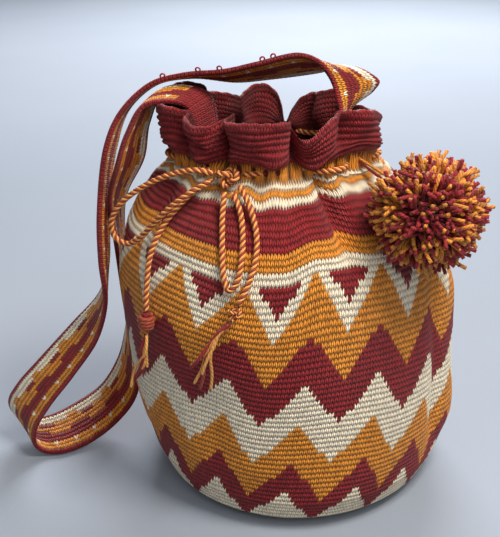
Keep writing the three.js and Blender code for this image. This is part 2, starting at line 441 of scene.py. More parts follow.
@dataclass(frozen=True)
class Wire:
    """A number or colour that leaves a shader node, with the usual signs for arithmetic."""

    graph: "Graph"
    socket: bpy.types.NodeSocket

    __add__ = sum_method("ADD", "This plus another.")
    __sub__ = sum_method("SUBTRACT", "This less another.")
    __rsub__ = sum_method("SUBTRACT", "Another less this.", swapped=True)
    __mul__ = sum_method("MULTIPLY", "This times another.")
    __mod__ = sum_method("FLOORED_MODULO", "This wrapped into 0 to another.")
    __lt__ = sum_method("LESS_THAN", "1 where this is less than another.")
    __gt__ = sum_method("GREATER_THAN", "1 where this is more than another.")
    power = sum_method("POWER", "This raised to a power.")
    floor = sum_method("FLOOR", "The whole number at or below this.")
    part = sum_method("FRACT", "What is left above the whole number.")
    size = sum_method("ABSOLUTE", "This without its sign.")
    sine = sum_method("SINE", "The sine of this, in radians.")


class Graph:
    """One material's nodes, written as sums."""

    def __init__(self, name: str) -> None:
        """Starts a material of this name with a principled surface."""
        self.material = bpy.data.materials.new(name)
        self.material.use_nodes = True
        self.tree = self.material.node_tree
        self.surface = self.tree.nodes["Principled BSDF"]

    def node(self, kind: str, inputs: dict[str | int, object], **settings: object) -> bpy.types.Node:
        """Adds a node and fills its inputs.

        Args:
            kind: The node's type name, without ShaderNode.
            inputs: Numbers, colours or wires by input name or number.
            **settings: The node's own properties.

        Returns:
            The node.
        """
        made = self.tree.nodes.new("ShaderNode" + kind)
        for key, value in settings.items():
            setattr(made, key, value)
        for key, value in inputs.items():
            if isinstance(value, Wire):
                self.tree.links.new(value.socket, made.inputs[key])
            else:
                made.inputs[key].default_value = (*value, 1) if isinstance(value, tuple) else value
        return made

    def wire(
        self, kind: str, inputs: dict[str | int, object], output: str | int = 0, **settings: object
    ) -> Wire:
        """Adds a node and takes one of its outputs."""
        return Wire(self, self.node(kind, inputs, **settings).outputs[output])

    def math(self, operation: str, *parts: "Wire | float") -> Wire:
        """One Math node, by Blender's name for the sum."""
        return self.wire("Math", dict(enumerate(parts)), operation=operation)

    def stitch(self) -> tuple[Wire, Wire]:
        """The piece's stitch coordinates, u and v."""
        place = self.wire("UVMap", {}, uv_map="Stitch")
        split = self.node("SeparateXYZ", {0: place}).outputs
        return Wire(self, split[0]), Wire(self, split[1])

    def value(self, name: str) -> Wire:
        """The number that a piece's mesh carries under a name."""
        return self.wire("Attribute", {}, "Fac", attribute_name=name)

    def place(self, x: "Wire | float", y: "Wire | float") -> Wire:
        """Two numbers joined into a flat place."""
        return self.wire("CombineXYZ", {0: x, 1: y})

    def noise(self, where: Wire, scale: float, detail: float = 2.0) -> Wire:
        """Soft noise, 0 to 1, with so many features in one unit and so many finer layers."""
        return self.wire("TexNoise", {"Vector": where, "Scale": scale, "Detail": detail}, "Fac")

    def chance(self, where: Wire) -> Wire:
        """A number from 0 to 1, different at each place."""
        return self.wire("TexWhiteNoise", {"Vector": where}, "Value")

    def blue(self, colour: Wire) -> Wire:
        """How blue a colour is, which is how pale the bag's yarns are."""
        return self.wire("SeparateColor", {0: colour}, 2)

    def object_place(self) -> Wire:
        """The place in the frame, in metres."""
        return self.wire("TexCoord", {}, "Object")

    def steps(self, value: Wire, low: float, high: float, bands: Sequence[tuple[float, Colour]]) -> Wire:
        """Bands of colour along a number, with sharp edges.

        Args:
            value: The number.
            low: What the first band starts at.
            high: What the last band ends at.
            bands: Each band's start and colour, lowest first.

        Returns:
            The colour.
        """
        share = (value - low) * (1 / (high - low))
        made = self.node("ValToRGB", {"Fac": share})
        ramp = made.color_ramp
        ramp.interpolation = "CONSTANT"
        while len(ramp.elements) > 1:
            ramp.elements.remove(ramp.elements[-1])
        ramp.elements[0].position, ramp.elements[0].color = 0.0, (*bands[0][1], 1)
        for start, colour in bands[1:]:
            ramp.elements.new((start - low) / (high - low)).color = (*colour, 1)
        return Wire(self, made.outputs["Color"])

    def mix(self, share: "Wire | float", a: "Wire | Colour", b: "Wire | Colour", how: str = "MIX") -> Wire:
        """Two colours blended.

        Args:
            share: How much of b, 0 to 1.
            a: The first colour.
            b: The second colour.
            how: Blender's name for the blend.

        Returns:
            The colour.
        """
        return self.wire("Mix", {0: share, 6: a, 7: b}, 2, data_type="RGBA", blend_type=how)

    def shaded(self, colour: Wire, brightness: Wire) -> Wire:
        """A colour times a brightness."""
        grey = self.wire("CombineColor", {number: brightness for number in range(3)})
        return self.mix(1.0, colour, grey, "MULTIPLY")

    def dress(
        self, colour: Wire, height: Wire, depth: float, roughness: float, sheen: float
    ) -> bpy.types.Material:
        """Finishes the surface.

        Args:
            colour: Its colour.
            height: Its relief, 0 to 1.
            depth: How deep the relief is, in metres.
            roughness: Its roughness.
            sheen: How much soft fibre sheen it has.

        Returns:
            The material.
        """
        bump = self.node("Bump", {"Strength": 1.0, "Distance": depth, "Height": height})
        surface = self.surface.inputs
        self.tree.links.new(colour.socket, surface["Base Color"])
        self.tree.links.new(bump.outputs[0], surface["Normal"])
        surface["Roughness"].default_value = roughness
        surface["Specular IOR Level"].default_value = 0.32
        surface["Sheen Weight"].default_value = sheen
        surface["Sheen Roughness"].default_value = 0.45
        return self.material


@dataclass(frozen=True)
class CrochetFinish:
    """Single crochet: rows of V-shaped stitches whose colour changes only from stitch to stitch.

    With u counted in stitches and v in rows, a stitch's two legs rise from its middle: its row is
    the whole part of v - lean |u's part - 1/2| + lean / 4. Soft noise first moves u and v a little.
    Relief is |sin(2 pi u)|^0.7 across the legs times |sin(pi v)|^0.6 up the row, then a lower ridge
    along the row and fine noise along the fibres. The gaps between rows, between legs and in the
    pit under each V are dark, less so on a pale yarn.
    """

    name: str
    lean: float = 1.0
    depth: float = 0.0018
    fibre: float = 7.0
    side_wobble: tuple[float, float] = (170.0, 0.5)
    row_wobble: tuple[float, float] = (120.0, 0.4)
    leg_power: float = 0.7
    row_power: float = 0.6
    pale_lift: float = 0.5
    brightest: float = 1.06

    def pattern(self, graph: Graph, column: Wire, row: Wire) -> Wire:
        """The colour of a stitch.

        Args:
            graph: The material's nodes.
            column: Which stitch it is in its row.
            row: Which row it is in.

        Returns:
            The colour.
        """
        raise NotImplementedError

    def painted_shade_factor(self, graph: Graph) -> "Wire | float":
        """How much light the surface keeps, 0 to 1: all of it unless a piece has openings."""
        return 1.0

    def build(self) -> bpy.types.Material:
        """The finished material."""
        graph = Graph(self.name)
        u, v = graph.stitch()
        place = graph.object_place()
        (side_scale, side_reach), (row_scale, row_reach) = self.side_wobble, self.row_wobble
        u = u + (graph.noise(place, side_scale) - 0.5) * side_reach
        v = v + (graph.noise(place, row_scale) - 0.5) * row_reach
        side = (u.part() - 0.5).size()
        raised = v - side * self.lean + self.lean / 4
        column, row = u.floor(), raised.floor()
        colour = self.pattern(graph, column, row)
        legs = (u * TURN).sine().size().power(self.leg_power)
        halfway = v - side * self.lean * 0.5 + self.lean / 8
        ridge = (halfway * math.pi).sine().size().power(self.row_power)
        arch = (raised * math.pi).sine().size().power(self.row_power)
        fibre = graph.noise(graph.place(u * 1.0 + raised * 0.6, raised * 0.45), self.fibre, 3.0)
        height = legs * arch * 0.6 + ridge * 0.35 + fibre * 0.25
        each = graph.chance(graph.place(column, row))
        patch = graph.noise(place, 14.0)
        # Painted shade: the pit under each V, the gaps between rows and between legs, and the low fibre
        # relief darken the colour; each stitch's random tone and the soft patches are the yarn's own.
        pit = (0.5 - side) * 2.0
        pit = pit * pit * pit * (1.0 - arch)
        gaps = (ridge * 0.4 + 0.62) * (legs * arch * 0.8 + 0.44) * (1.0 - pit * 0.6)
        painted_shade_and_tone = gaps * (each * 0.34 + 0.9) * (patch * 0.3 + 0.88) * (fibre * 1.1 + 0.5)
        # Painted light: a pale yarn's painted shade is lifted towards brightest, standing for light bounced
        # inside it.
        painted_shade_and_tone = painted_shade_and_tone + (self.brightest - painted_shade_and_tone) * graph.blue(colour) * self.pale_lift
        colour = graph.shaded(colour, painted_shade_and_tone * self.painted_shade_factor(graph))
        return graph.dress(colour, height, self.depth, roughness=0.55, sheen=0.04)


@dataclass(frozen=True)
class BodyFinish(CrochetFinish):
    """The body's pattern: level bands at the shoulder over stacked zigzags of even height.

    Rows below the shoulder are counted down from `top`. A tooth is 19 stitches wide; with d the
    stitches from the nearest valley column, zigzag bands follow g = rows down - 8.9 + 0.9 d.
    """

    name: str = "body_crochet"
    top: int = 54
    tooth: int = 19
    first_tip: float = 8.9
    rise: float = 0.9
    # How dark the painted shade gets at most.
    darkest: float = 0.88

    def painted_shade_factor(self, graph: Graph) -> "Wire | float":
        """Dark in the eyelets between the tall gathered stitches, and duller on the inner side."""
        return graph.value("shade") * -self.darkest + 1.0

    def pattern(self, graph: Graph, column: Wire, row: Wire) -> Wire:
        """The colour of a stitch.

        Args:
            graph: The material's nodes.
            column: Which stitch it is in its row.
            row: Which row it is in.

        Returns:
            The colour.
        """
        maroon, gold, cream = YARNS.maroon, YARNS.gold, YARNS.cream
        down = (self.top - 1) - row
        inside = column % self.tooth
        away = graph.math("MINIMUM", inside, self.tooth - inside)
        band = down - self.first_tip + away * self.rise
        zigzag = graph.steps(
            band,
            -10,
            58,
            [
                (-10, cream), (0.9, gold), (9.2, maroon), (17.8, cream),
                (25.8, gold), (33.3, maroon), (39.6, cream),
            ],
        )
        room = (down - 2) * -1.3 + 5.6
        small = (down > 1.5) * (down < 6.5) * (away < room)
        zigzag = graph.mix(small, zigzag, maroon)
        up = down * -1.0
        level = graph.steps(
            up,
            0,
            24,
            [
                (0, gold), (3.5, maroon), (9.5, cream), (10.5, gold),
                (11.5, cream), (12.5, gold), (13.5, maroon),
            ],
        )
        base = graph.steps(
            row,
            -22,
            1,
            [
                (-22, maroon), (-17.5, gold), (-14.5, cream),
                (-11.5, maroon), (-7.5, gold), (-4.5, cream),
            ],
        )
        whole = graph.mix(down < -0.5, zigzag, level)
        return graph.mix(row < -0.5, whole, base)


@dataclass(frozen=True)
class StrapFinish(CrochetFinish):
    """The strap's pattern: rows run its length, with small steps and dots at the colour changes."""

    name: str = "strap_crochet"
    fibre: float = 8.0
    plain_from: float = 1000.0

    def pattern(self, graph: Graph, column: Wire, row: Wire) -> Wire:
        """The colour of a stitch.

        Args:
            graph: The material's nodes.
            column: Which stitch it is in its row.
            row: Which row it is in.

        Returns:
            The colour.
        """
        maroon, gold, cream = YARNS.maroon, YARNS.gold, YARNS.cream
        beat = column % 12
        step = (beat < 6) * 1.0
        point = (beat - 5.5).size() < 2.1
        shifted = row - step * (row > 3.5) * (row < 6.5)
        colour = graph.steps(
            shifted,
            0,
            12,
            [(0, maroon), (0.5, gold), (2.5, maroon), (4.5, gold), (7.5, cream), (9.5, maroon)],
        )
        dot = (row > 1.5) * (row < 2.5) * ((column % 6) < 1)
        colour = graph.mix(dot, colour, cream)
        peak = (row > 6.5) * (row < 7.5) * point
        colour = graph.mix(peak, colour, maroon)
        nick = (row > 7.5) * (row < 8.5) * (beat < 3)
        return graph.mix(column > self.plain_from, graph.mix(nick, colour, gold), maroon)


@dataclass(frozen=True)
class YarnFinish:
    """Loose yarn: fine threads wound round it, maroon or gold by the `gold` value on its mesh."""

    name: str
    gold: Colour = YARNS.gold
    threads: float = 3.0
    pitch: float = 4.0
    depth: float = 0.0004

    def build(self) -> bpy.types.Material:
        """The finished material: relief is |sin| of threads u + v / pitch, with soft noise."""
        graph = Graph(self.name)
        u, v = graph.stitch()
        thread = ((u * self.threads + v * (1 / self.pitch)) * math.pi).sine().size().power(0.7)
        fuzz = graph.noise(graph.place(u * 4, v * 0.35), 2.6, 3.0)
        colour = graph.mix(graph.value("gold"), YARNS.maroon, self.gold)
        height = thread * 0.7 + fuzz * 0.4
        # Painted shade: darker where the thread relief is low; the tone value is each yarn's own tone, and
        # painted shade for the pompom's middle and the knot's core.
        painted_shade_and_tone = (height * 0.75 + 0.35) * (graph.value("tone") * 0.6 + 0.7)
        return graph.dress(graph.shaded(colour, painted_shade_and_tone), height, self.depth, 0.65, 0.1)


# ---------------------------------------------------------------- the stage
@dataclass(frozen=True)
class Studio:
    """The camera, the pale floor and the soft lights."""

    distance: float = 0.82
    height: float = 0.55
    tilt_deg: float = 66.0
    lens: float = 67.04
    shift: float = -0.0875

    def camera(self) -> None:
        """Puts up the camera and makes it the scene's."""
        data = bpy.data.cameras.new("camera")
        data.sensor_width, data.lens, data.shift_x = 36.0, self.lens, self.shift
        data.clip_start = 0.05
        camera = link("camera", data)
        camera.location = (0, -self.distance, self.height)
        camera.rotation_euler = (math.radians(self.tilt_deg), 0, 0)
        bpy.context.scene.camera = camera

    def floor(self) -> None:
        """A wide flat sheet."""
        points = [(-6.0, -6.0, 0.0), (6.0, -6.0, 0.0), (6.0, 9.0, 0.0), (-6.0, 9.0, 0.0)]
        mesh = bpy.data.meshes.new("floor")
        mesh.from_pydata(points, [], [(0, 1, 2, 3)])
        graph = Graph("floor_cloth")
        weave = graph.noise(graph.object_place(), 2.0)
        colour = graph.mix(weave, linear(140, 148, 160), linear(152, 159, 170))
        threads = graph.noise(graph.object_place(), 900.0)
        mesh.materials.append(graph.dress(colour, threads, 0.0002, roughness=0.9, sheen=0.0))
        link("floor", mesh)

    def area(self, name: str, place: Sequence[float], size: float, power: float, colour: Colour) -> None:
        """A square soft light that faces the bag's middle.

        Args:
            name: Its name.
            place: Where it hangs, in metres.
            size: Its side, in metres.
            power: Its strength, in watts.
            colour: Its colour.
        """
        data = bpy.data.lights.new(name, "AREA")
        data.size, data.energy, data.color = size, power, colour
        light = link(name, data)
        light.location = place
        aim = np.array([0.0, 0.0, 0.18]) - np.array(place)
        flat = math.hypot(aim[0], aim[1])
        light.rotation_euler = (math.atan2(flat, -aim[2]), 0, math.atan2(aim[1], aim[0]) - math.pi / 2)

    def build(self) -> None:
        """The lights, the sky and the floor."""
        self.area("key", (0.42, -0.4, 1.25), 0.42, 17.0, (1.0, 0.95, 0.88))
        self.area("front", (0.2, -0.8, 0.75), 0.5, 2.2, (1.0, 0.97, 0.94))
        self.area("behind", (0.2, 2.4, 1.6), 1.6, 110.0, (1.0, 1.0, 1.0))
        world = bpy.data.worlds.new("sky")
        world.use_nodes = True
        sky = world.node_tree.nodes["Background"].inputs
        sky["Color"].default_value = (0.86, 0.91, 1.0, 1)
        sky["Strength"].default_value = 0.3
        bpy.context.scene.world = world
        bpy.context.scene.view_settings.view_transform = "Standard"
        self.floor()


# ---------------------------------------------------------------- the drawstring
@dataclass
class TwistedCord:
    """Four plies wound round each other, maroon and gold in turn.

    A ply's centre is path + r (cos(f) n + sin(f) b), with f = 2 pi length / pitch and a quarter
    turn between the plies; its own circles stand square to its own direction.
    """

    plies: int = 4
    ply_radius: float = 1.1
    wind_radius: float = 1.4
    pitch: float = 11.0
    sides: int = 7
    step: float = 1.1
    end_taper: float = 0.5

    def patches(self, path: Array, closed: bool = False, scale: float = 1.0) -> list[Patch]:
        """The plies along a path.

        Args:
            path: Evenly spaced stations.
            closed: Whether the path joins its own start.
            scale: How thick it is beside the stated sizes.

        Returns:
            One closed tube for each ply.
        """
        first, second = carried_frame(path, closed)
        run = run_of(np.vstack([path, path[:1]])) if closed else run_of(path)
        turns = run[-1] / (self.pitch * scale)
        turns = max(1, round(turns)) if closed else turns
        radius = np.full(len(path), self.ply_radius * scale)
        if not closed:
            radius[[0, -1]] *= self.end_taper
        made = []
        for ply in range(self.plies):
            phase = (TURN * turns * run[: len(path)] / run[-1] + TURN * ply / self.plies)[:, None]
            radial = np.cos(phase) * first + np.sin(phase) * second
            centre = path + self.wind_radius * scale * radial
            across = np.cross(directions(centre, closed), radial)
            odd = ply % 2
            colours = {"gold": 0.08 + 0.8 * odd, "tone": 0.6 + 0.3 * odd}
            made.append(tube_patch(centre, radial, across, radius, self.sides, closed, **colours))
        return made


@dataclass
class Drawstring:
    """The cord through the neck, its bow in front of the neck, its end knots and loose yarn ends."""

    cord: TwistedCord = field(default_factory=TwistedCord)
    diameter: float = 5.0
    cord_half: float = 2.4
    barrel_turns: float = 4.2
    barrel_half: float = 5.6
    knot_centre: tuple[float, float, float] = (-55, -70, 295)
    knot_radii: tuple[float, float, float] = (11, 8, 9)
    left_loop: tuple = (
        (-66, -73, 299), (-78, -74, 302), (-98, -68, 297), (-122, -62, 285), (-143, -58, 268),
        (-152, -56, 252), (-150, -56, 238), (-140, -60, 234), (-130, -66, 240), (-118, -72, 253),
        (-102, -78, 271), (-84, -79, 285), (-68, -77, 294),
    )
    right_loop: tuple = (
        (-57, -80, 286), (-58, -90, 273), (-58, -104, 254), (-57, -117, 232), (-53, -123, 221),
        (-47, -123, 226), (-43, -116, 241), (-42, -104, 258), (-44, -92, 273), (-50, -81, 286),
    )
    left_tail: tuple = (
        (-67, -70, 293), (-77, -69, 287), (-93, -69, 272), (-109, -76, 253), (-118, -84, 232),
        (-121, -92, 208), (-122, -96, 190),
    )
    right_tail: tuple = (
        (-45, -79, 291), (-36, -93, 277), (-31, -107, 257), (-33, -120, 239), (-40, -129, 222),
        (-45, -132, 213),
    )
    left_tassel: tuple = ((-122, -98, 170), (-124, -99, 155), (-128, -96, 138), (-133, -92, 118))
    right_tassel: tuple = (
        (-52, -136, 199), (-62, -137, 188), (-68, -139, 170), (-70, -139, 150), (-73, -138, 132),
    )
    barrel_centre: tuple[float, float, float] = (-122, -97, 181.1)
    stop_centre: tuple[float, float, float] = (-48, -134, 206.1)

    def knot(
        self, name: str, centre: Sequence, radii: Sequence, scale: float, finish: bpy.types.Material
    ) -> bpy.types.Object:
        """A tied knot: the trefoil (sin t + 2 sin 2t, cos t - 2 cos 2t, -sin 3t), squeezed to radii.

        Args:
            name: Its name.
            centre: Its middle.
            radii: Half its size each way.
            scale: The cord's thickness in it.
            finish: Its material.

        Returns:
            The piece.
        """
        t = TURN * np.arange(120) / 120
        wide = np.sin(t) + 2 * np.sin(2 * t)
        tall = np.cos(t) - 2 * np.cos(2 * t)
        shape = np.stack([wide / 3, -np.sin(3 * t), tall / 3], 1)
        room = np.array(radii) - self.cord_half * scale
        path = even_path(np.array(centre) + shape * room, self.cord.step, True)
        return piece_from(name, self.cord.patches(path, True, scale), finish)

    def barrel(self, finish: bpy.types.Material) -> bpy.types.Object:
        """The left end knot: the cord wound a little over 4 times round a short core.

        Args:
            finish: Its material.

        Returns:
            The piece.
        """
        t = np.linspace(0, 1, 90)
        angle = TURN * self.barrel_turns * t
        swell = 4.2 + 0.9 * np.sin(math.pi * t)
        rise = self.barrel_half * (1 - 2 * t)
        middle = np.array(self.barrel_centre)
        path = middle + np.stack([swell * np.cos(angle), swell * np.sin(angle), rise], 1)
        wound = plain_tube(path, 1.75, 8, gold=0.12, tone=0.6)
        core_path = middle + np.linspace([0, 0, 7.6], [0, 0, -7.4], 12)
        # Painted shade: the core, seen only between the wraps, is darker than the wound cord.
        core = plain_tube(core_path, 3.4, 8, gold=0.0, tone=0.2)
        return piece_from("left_knot", [wound, core], finish)

    def loose_ends(
        self,
        name: str,
        route: Sequence,
        spread: Sequence,
        golds: Sequence,
        seed: int,
        finish: bpy.types.Material,
    ) -> bpy.types.Object:
        """Loose yarns that start together and part towards their ends.

        Each yarn follows the route plus its own spread times the share of the way to the power
        1.6, with a small wave across.

        Args:
            name: The piece's name.
            route: The middle route.
            spread: Each yarn's end, beside the route's.
            golds: How gold each yarn is, 0 to 1.
            seed: What its small waves start from.
            finish: Its material.

        Returns:
            The piece.
        """
        random = np.random.default_rng(seed)
        middle = even_path(route, 2.0)
        share = np.linspace(0, 1, len(middle))[:, None]
        made = []
        for reach, gold in zip(spread, golds):
            wave = random.normal(0, 1.1, 3) * np.sin(share * random.uniform(4, 8) + random.uniform(0, TURN))
            fan = random.normal(0, 0.9, 3) + wave * np.minimum(1, share * 3)
            path = middle + np.array(reach) * share**1.6 + fan
            radius = np.full(len(path), 1.3)
            radius[-1] = 0.8
            tone = random.uniform(0.3, 0.8)
            made.append(plain_tube(path, radius, 7, gold=float(gold), tone=tone))
        return piece_from(name, made, finish)

    def build(self, neck: Array) -> None:
        """Makes the cord's pieces and declares its free runs.

        Args:
            neck: The run woven through the neck.
        """
        finish = YarnFinish("cord_yarn_finish", gold=linear(236, 168, 84)).build()
        knot = self.knot("bow", self.knot_centre, self.knot_radii, 0.95, finish)
        stop = self.knot("right_knot", self.stop_centre, (6.5, 6.0, 6.5), 0.62, finish)
        barrel = self.barrel(finish)
        left_ends = self.loose_ends(
            "left_ends", self.left_tassel,
            ((-8, 4, -2), (-2, 0, 6), (5, -4, 18), (9, -5, 20), (-5, 0, 3)), (1, 0, 1, 1, 0), 3, finish,
        )
        right_ends = self.loose_ends(
            "right_ends", self.right_tassel,
            ((4, -1, 10), (0, -1, 24), (-4, 0, 8), (-8, 1, 16), (-11, 1, 30)),
            (0.9, 0.9, 0.1, 0.8, 0), 5, finish,
        )
        for piece, node in (
            (knot, "bow_knot"), (stop, "right_end_knot"), (barrel, "left_end_knot"),
            (left_ends, "left_tassel"), (right_ends, "right_tassel"),
        ):
            settle(piece, Body.BAG, Slot.CORD, node)
        runs = (
            ("left_bow", self.left_loop, "left_bow_loop", "object", ()),
            ("right_bow", self.right_loop, "right_bow_loop", "object", ()),
            ("left_end", self.left_tail, "left_tail", "knot", (barrel, left_ends)),
            ("right_end", self.right_tail, "right_tail", "knot", (stop, right_ends)),
        )
        for name, points, node, far_end, pieces in runs:
            path = even_path(points, self.cord.step)
            piece = settle(piece_from(name, self.cord.patches(path), finish), Body.BAG, Slot.CORD, node)
        woven = piece_from("neck_cord", self.cord.patches(even_path(neck, self.cord.step)), finish)
        settle(woven, Body.BAG, Slot.CORD, "drawstring_neck_run")


# ---------------------------------------------------------------- the body
@dataclass
class BagBody:
    """The crocheted body: a rounded bucket that leans, gathered at the neck under a ruffled collar."""

    heights: tuple = (
        0, 3, 12, 30, 60, 100, 145, 185, 215, 240, 260, 276, 288, 296, 306, 322, 338,
    )
    half_widths: tuple = (
        103, 114, 125, 134.5, 141, 144.5, 148, 146, 140, 130, 116, 101, 89, 86, 87, 89, 91,
    )
    half_depths: tuple = (
        109, 120, 131, 136.5, 138.5, 138, 136, 132, 125, 113, 98, 81, 68, 64, 66, 70, 74,
    )
    lean: float = 20.0
    wall: float = 5.0
    neck: float = 296.0
    stitches: int = 285
    row_height: float = 4.75
    top_row: int = 54
    shoulder: float = 235.0
    upper_rows: tuple = (
        (247, 57), (274, 63), (279.5, 64), (284.5, 65), (288.5, 66), (302.5, 67), (338, 74),
    )
    eyelet_row: int = 66
    valley_deg: float = -3.4
    slant_deg: float = 0.47
    post_count: int = 42
    base_rows: float = 22.0
    folds: tuple = (
        (-82, 12, 6), (-52, 6, 4), (-27, 20, 4), (13, 28, 4), (38, 4, 5), (94, 14, 10),
        (122, 12, 7), (148, 18, 5), (172, 24, 8), (205, 16, 7), (235, 12, 8),
    )
    creases: tuple = (
        (-58, 7, 6), (27, 19, 3.4), (95, 6, 8), (140, 8, 7), (185, 8, 7), (235, 8, 8),
    )
    side_crease: tuple = ((61, -6.5, 5), (75, 3.0, 9))
    rim_tips: tuple = (
        (18, -16, 7), (48, 6, 14), (94, -20, 20), (-62, 8, 9), (-37, -6, 7), (68, 2, 9),
        (-118, 14, 18), (142, 5, 12), (171, -22, 8), (-171, 7, 7),
    )
    hem_drops: tuple = ((22, 6, 6), (1, 4.5, 5), (-42, 4, 7), (-16, -3, 5), (50, -5.5, 13))

    def profile(self, z: Array) -> tuple[Array, Array, Array]:
        """Half width, half depth and the section's centre at a height."""
        a = np.interp(z, self.heights, self.half_widths)
        b = np.interp(z, self.heights, self.half_depths)
        return a, b, -self.lean * np.clip((z - 50) / 240, 0, 1)

    def row_table(self) -> tuple[Array, Array]:
        """Heights and the row that lies at each, from the arc length up the side and the collar."""
        z = np.linspace(0, self.heights[-1], 800)
        a, b, _ = self.profile(z)
        spread = np.hypot(np.diff(z), np.diff(a + b) / 2)
        arc = np.concatenate([[0], np.cumsum(spread)])
        row = self.top_row + (arc - np.interp(self.shoulder, z, arc)) / self.row_height
        marks = np.array([(self.shoulder, self.top_row), *self.upper_rows])
        row = np.where(z > self.shoulder, np.interp(z, marks[:, 0], marks[:, 1]), row)
        return z, row

    def wall_shape(self, z: Array, degrees: Array) -> Array:
        """The wall's soft lumps (products of sines), its two dents and the crease on its right.

        Args:
            z: Heights.
            degrees: Angles from the bow side's middle.

        Returns:
            Outward offsets.
        """
        t = np.radians(degrees)
        lumps = 2.2 * np.sin(3 * t + z / 47) * np.cos(z / 31) + 1.2 * np.sin(7 * t - z / 23 + 1)
        dent = bell(z, 85, 48) * hump(degrees, -27, 7) + 0.6 * hump(degrees, 118, 8)
        crease = window(z, (25, 70), (170, 230)) * humps(degrees, self.side_crease)
        return window(z, (5, 50), (235, 285)) * (lumps - 3.5 * dent) + crease

    def shoulder_shape(self, z: Array, degrees: Array) -> Array:
        """The shoulder's pleats, with the cloth swelling between them.

        Args:
            z: Heights.
            degrees: Angles from the bow side's middle.

        Returns:
            Outward offsets.
        """
        near = sum(hump(degrees, at, 3 * width) for at, _, width in self.creases)
        swell = 3.5 * (1 - np.minimum(near, 1))
        return window(z, (218, 262), (284, 302)) * (swell - humps(degrees, self.creases))

    def neck_shape(self, z: Array, degrees: Array) -> Array:
        """The neck drawn in, its tall stitches standing out, and small waves just below it.

        Args:
            z: Heights.
            degrees: Angles from the bow side's middle.

        Returns:
            Outward offsets.
        """
        t = np.radians(degrees)
        near_neck = bell(z, self.neck, 11)
        tall = window(z, (286, 291), (299, 303))
        gathers = (6.0 * tall + 1.6 * near_neck) * (self.posts(degrees) - 0.6) - 2.5 * near_neck
        waves = np.cos(17 * t + 2.5 * np.sin(2 * t))
        return gathers + 3.2 * bell(z, self.neck - 14, 13) * waves

    def collar_shape(self, z: Array, degrees: Array) -> Array:
        """The collar's inward folds between its lobes, crumpled, with a thick hem and a flared rim.

        Args:
            z: Heights.
            degrees: Angles from the bow side's middle.

        Returns:
            Outward offsets.
        """
        t = np.radians(degrees)
        up = smoothstep(z, self.neck - 2, self.neck + 20)
        strength = 0.12 * smoothstep(z, self.neck - 14, self.neck) * (1 - up) + up
        lobes = sum(hump(degrees, at, 2.2 * width) for at, _, width in self.folds)
        crumple = 1.7 * np.sin(11 * t + z / 8) + 1.4 * np.sin(19 * t - z / 6 + 2)
        slant = hump(degrees + 0.7 * (z - 320), -40, 4)
        crumple = crumple - 5 * slant * (1 - smoothstep(z, 322, 336))
        ruffle = 8.5 * (1 - np.minimum(lobes, 1)) - humps(degrees, self.folds) + crumple
        flare = 7 * smoothstep(z, 316, 338) * hump(degrees, -64, 9)
        flare = flare - 5 * smoothstep(z, 300, 330) * hump(degrees, 76, 14)
        return 4.0 * bell(z, 309, 6.5) + flare + strength * ruffle

    def shape(self, z: Array, degrees: Array) -> Array:
        """How far the surface stands out of the plain section: the sum of its four parts' shapes."""
        parts = (self.wall_shape, self.shoulder_shape, self.neck_shape, self.collar_shape)
        return sum(part(z, degrees) for part in parts)

    def posts(self, degrees: Array) -> Array:
        """How far the neck's tall stitches stand out: |cos(uneven count / 2)|^0.7."""
        t = np.radians(degrees)
        phase = self.post_count * t + 2.2 * np.sin(3 * t) + 1.3 * np.sin(7 * t)
        return np.abs(np.cos(phase / 2)) ** 0.7

    def row_shift(self, z: Array, degrees: Array) -> Array:
        """How far up the surface a row lies out of level: tilted, dipped in front, scalloped above.

        Args:
            z: Heights.
            degrees: Angles from the bow side's middle.

        Returns:
            Moves up the surface.
        """
        t = np.radians(degrees)
        fade = window(z, (5, 60), (262, 296))
        tilt = -5.5 * np.sin(t)
        front = (3.5 + 5.5 * smoothstep(z, 60, 190)) * (1 - smoothstep(z, 200, 262))
        dip = -front * hump(degrees, -8, 17)
        right = 8 * window(degrees, (2, 15), (80, 130)) * window(z, (168, 222), (246, 298))
        left = 8 * hump(degrees, -85, 38) * window(z, (150, 220), (250, 296))
        scallop = 1.6 * np.sin(17 * t + 2.5 * np.sin(2 * t) + 0.6) + 1.0 * np.sin(29 * t + 2)
        near = bell(z, self.neck - 16, 13)
        return fade * (tilt + dip) + right + left + near * (scallop + 5 * hump(degrees, 52, 24))

    def rim_shift(self, z: Array, degrees: Array) -> Array:
        """How far the collar's height moves: lower at the back and the left, with tips and valleys.

        Args:
            z: Heights.
            degrees: Angles from the bow side's middle.

        Returns:
            Moves upwards.
        """
        up = smoothstep(z, self.neck, self.heights[-1])
        level = -12 * (1 - np.cos(np.radians(degrees))) / 2
        hem = bell(z, 307, 6.5) * humps(degrees, self.hem_drops)
        return up * (level + humps(degrees, self.rim_tips)) - hem

    def surface(self, z: Array, degrees: Array, offset: Array | float) -> Array:
        """The place at a height, an angle and an outward offset.

        x = centre + (a + out) sin, y = -(b + out) cos, with out the surface's shape and offset. In
        the collar the angle is drawn in towards each fold, which narrows the fold between its lips.

        Args:
            z: Heights.
            degrees: Angles from the bow side's middle, turning towards +X.
            offset: Outward offsets from the surface.

        Returns:
            The places.
        """
        z, degrees = np.broadcast_arrays(z, degrees)
        level = np.clip(z + self.row_shift(z, degrees), 0, self.heights[-1])
        a, b, centre = self.profile(level)
        out = self.shape(level, degrees) + offset
        up = smoothstep(level, self.neck + 2, self.heights[-1])
        gaps = [(wrapped(degrees - at), width) for at, _, width in self.folds]
        pinch = sum(0.62 * gap * bell(gap, 0, 1.9 * width) for gap, width in gaps)
        t = np.radians(degrees - up * pinch)
        height = level + self.rim_shift(level, degrees)
        return np.stack([centre + (a + out) * np.sin(t), -(b + out) * np.cos(t), height], -1)

